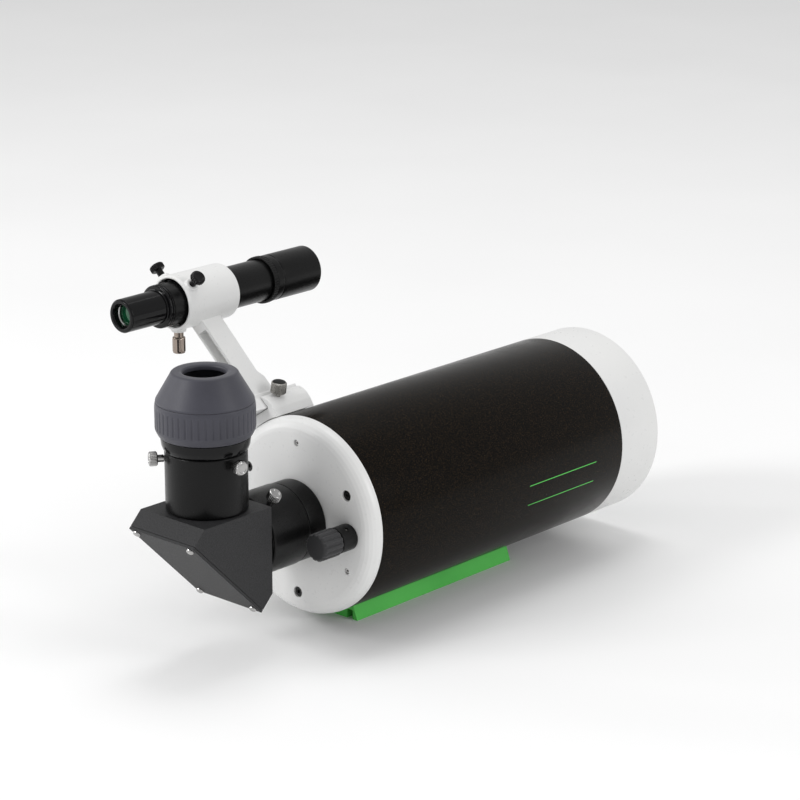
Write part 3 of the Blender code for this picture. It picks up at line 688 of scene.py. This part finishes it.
def build_finder_bracket(shop):
    ring = [(17.9, -37.8), (19.6, -37.8), (20.3, -36.4), (20.3, 10.8), (19.6, 12.2), (17.9, 12.2)]
    parts = [(lathe_mesh("ring", ring, sides=128, soft=0.5), placed(FINDER_CENTRE, FORWARD))]
    arm = [(-13, 92), (14, 92), (10.5, 105), (6, 110), (-4.5, 157.8), (-23.5, 157.8), (-16, 125),
           (-12.5, 108)]
    spine = [(-13, 92), (14, 92), (10.5, 105), (6, 110), (-4.5, 157.8), (-23.5, 157.8), (-21.8, 150),
             (-14.5, 150), (-8, 122), (-4.5, 106), (-12.2, 106)]
    foot = [(10.85, 80.9), (7.8, 90.4), (7.8, 93), (-7.8, 93), (-7.8, 90.4), (-10.85, 80.9)]
    parts.append((prism_mesh("cheek", arm, 3.9, 6.3, "X"), station()))
    parts.append((prism_mesh("cheek", arm, -6.3, -3.9, "X"), station()))
    parts.append((prism_mesh("spine", spine, -4.0, 4.0, "X"), station()))
    parts.append((prism_mesh("foot", foot, -14.5, 34.0, "Y"), station()))
    centre = FINDER_CENTRE + Vector((0, FINDER_SCREW_Y, 0))
    bosses = [(angle, 2.3, 5.6) for angle in ALIGNMENT_SCREW_ANGLES.values()] + [(PLUNGER_ANGLE, 3.8, 6.2)]
    for angle, bore, wide in bosses:
        boss = [(bore, 18.4), (wide, 18.4), (wide - 0.8, 22.2), (bore, 22.2)]
        parts.append((lathe_mesh("boss", boss, sides=48, soft=0.2), placed(centre, across(angle))))
    bracket = fused("finder_bracket_fine", parts, 0.5, 4)
    shop.finish(bracket, "finder_bracket")

    black = shop.materials["black_gloss_paint"]
    for side, angle in ALIGNMENT_SCREW_ANGLES.items():
        direction = across(angle)
        thumbscrew(shop, f"finder_alignment_screw_{side}", centre + direction * 22.2, direction,
                   5.3, 5.4, 4.6, 5.4, 1.8, count=22, material=black)
    housing = [(0, 36.6), (2.9, 36.6), (2.9, 22.4), (2.0, 22.4), (2.0, 18.4), (3.5, 18.4), (3.5, 26),
               (4.5, 26.4), (4.9, 27.2, 1), (4.9, 36.4, 1), (4.3, 38.0), (0, 38.2)]
    warm_chrome = coated("warm_chrome", (0.24, 0.2, 0.17), (0.36, 0.3, 0.26), (0.12, 0.22),
                         metallic=1.0, depth=0.004)
    shop.turn("finder_plunger_housing", housing, centre, across(PLUNGER_ANGLE), sides=20 * 8, soft=0.2,
              shape=knurls(12, 0.3), material=warm_chrome)


def build_finder(shop):
    def add(node, profile, **options):
        return shop.turn(node, profile, FINDER_CENTRE, FORWARD, **options)

    tube = [(10.3, -48), (15.2, -48), (15.7, -47.4), (15.7, 64), (14.4, 64), (14.4, -45), (10.3, -45)]
    add("finder_tube", tube, sides=96)
    barrel = [(8.4, -84.6), (9.2, -86), (11.2, -86), (12.2, -85), (12.3, -52.6), (13.0, -52.2),
              (15.2, -52.1), (15.7, -51.6), (15.7, -50.4), (14.9, -50.1), (14.9, -49.6), (15.8, -49.3),
              (15.8, -48.5), (10, -48.4), (10, -42), (8.4, -42)]
    add("finder_eyepiece", barrel, sides=96, soft=0.25, material=shop.materials["black_gloss_paint"])
    ring = [(7.7, -80.2), (8.35, -81.0), (8.35, -79.6), (7.7, -79.6)]
    add("finder_eyepiece", ring, sides=64, soft=0.1, name="finder_eye_ring", replace=False,
        material=shop.materials["bright_chrome"])
    lens = [(0, -80.0), (4, -79.8), (8.1, -79), (8.1, -76), (4, -75.5), (0, -75.4)]
    green_lens = glass("finder_eye_glass", (0.1, 0.9, 0.45), 0.35)
    add("finder_eye_lens", lens, sides=64, soft=0.0, material=green_lens)
    lock = [(16.05, 50), (17.5, 50), (17.7, 50.4, 1), (17.7, 54.3, 1), (17.5, 54.7), (16.05, 54.7)]
    add("finder_lock_ring", lock, sides=60 * 4, soft=0.15, shape=knurls(60, 0.3))
    cell = [(16.05, 55), (16.9, 55), (17.2, 55.5), (17.2, 60.2), (16.8, 60.8), (16.8, 61.6), (17.2, 62.2),
            (17.2, 99), (16.6, 99.7), (15.8, 99.7), (15.8, 73), (14, 73), (14, 70), (16.05, 70)]
    add("finder_objective_cell", cell, sides=96, soft=0.2)


# ---------------------------------------------------------------- stage


def build_stage():
    bpy.ops.mesh.primitive_plane_add(size=30.0, location=(0.0, 0.0, 0.0))
    floor = bpy.context.object
    floor.name = "floor"
    graph = Graph("pale_floor")
    graph.set(Specular_IOR_Level=0.1)
    tone = graph.noise(3.0, 2.0)
    graph.feed("Base Color", graph.ramp(tone, [(0.3, (0.93, 0.93, 0.93)), (0.7, (0.95, 0.95, 0.95))]))
    graph.feed("Roughness", graph.spread(tone, 0.85, 0.95))
    floor.data.materials.append(graph.material)

    world = bpy.data.worlds.new("studio")
    bpy.context.scene.world = world
    world.use_nodes = True
    background = world.node_tree.nodes["Background"]
    background.inputs["Color"].default_value = (1.0, 1.0, 1.0, 1.0)
    background.inputs["Strength"].default_value = WORLD_STRENGTH
    for name, place, size, power in LIGHTS:
        data = bpy.data.lights.new(name, "AREA")
        data.shape = "RECTANGLE"
        data.size, data.size_y = size
        data.energy = power
        lamp = bpy.data.objects.new(name, data)
        lamp.location = place
        lamp.rotation_euler = (LIGHT_TARGET - Vector(place)).to_track_quat("-Z", "Y").to_euler()
        bpy.context.scene.collection.objects.link(lamp)


def build_camera():
    azimuth, elevation = math.radians(CAMERA_AZIMUTH), math.radians(CAMERA_ELEVATION)
    back = Vector((math.sin(azimuth) * math.cos(elevation), -math.cos(azimuth) * math.cos(elevation),
                   math.sin(elevation)))
    data = bpy.data.cameras.new("camera")
    data.lens = CAMERA_LENS_MM
    data.sensor_width = 36.0
    data.clip_end = 100.0
    camera = bpy.data.objects.new("camera", data)
    camera.location = CAMERA_TARGET + back * CAMERA_DISTANCE
    camera.rotation_euler = back.to_track_quat("Z", "Y").to_euler()
    bpy.context.scene.collection.objects.link(camera)
    bpy.context.scene.camera = camera
    bpy.context.scene.view_settings.view_transform = "Standard"


def build():
    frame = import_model()
    materials = make_materials()
    shop = Workshop(frame, materials)
    for node, slot in shop.slots.items():
        item = frame["nodes"][node]
        item.data.materials.clear()
        item.data.materials.append(materials[slot])
    build_camera()
    build_stage()
    build_tube(shop)
    build_rear_cell(shop)
    build_focuser(shop)
    build_visual_back(shop)
    build_cover_screws(shop)
    build_stripes(shop)
    build_holder(shop)
    build_eyepiece(shop)
    bevel_plain_nodes(frame)
    build_finder_shoe(shop)
    build_finder_bracket(shop)
    build_finder(shop)


build()
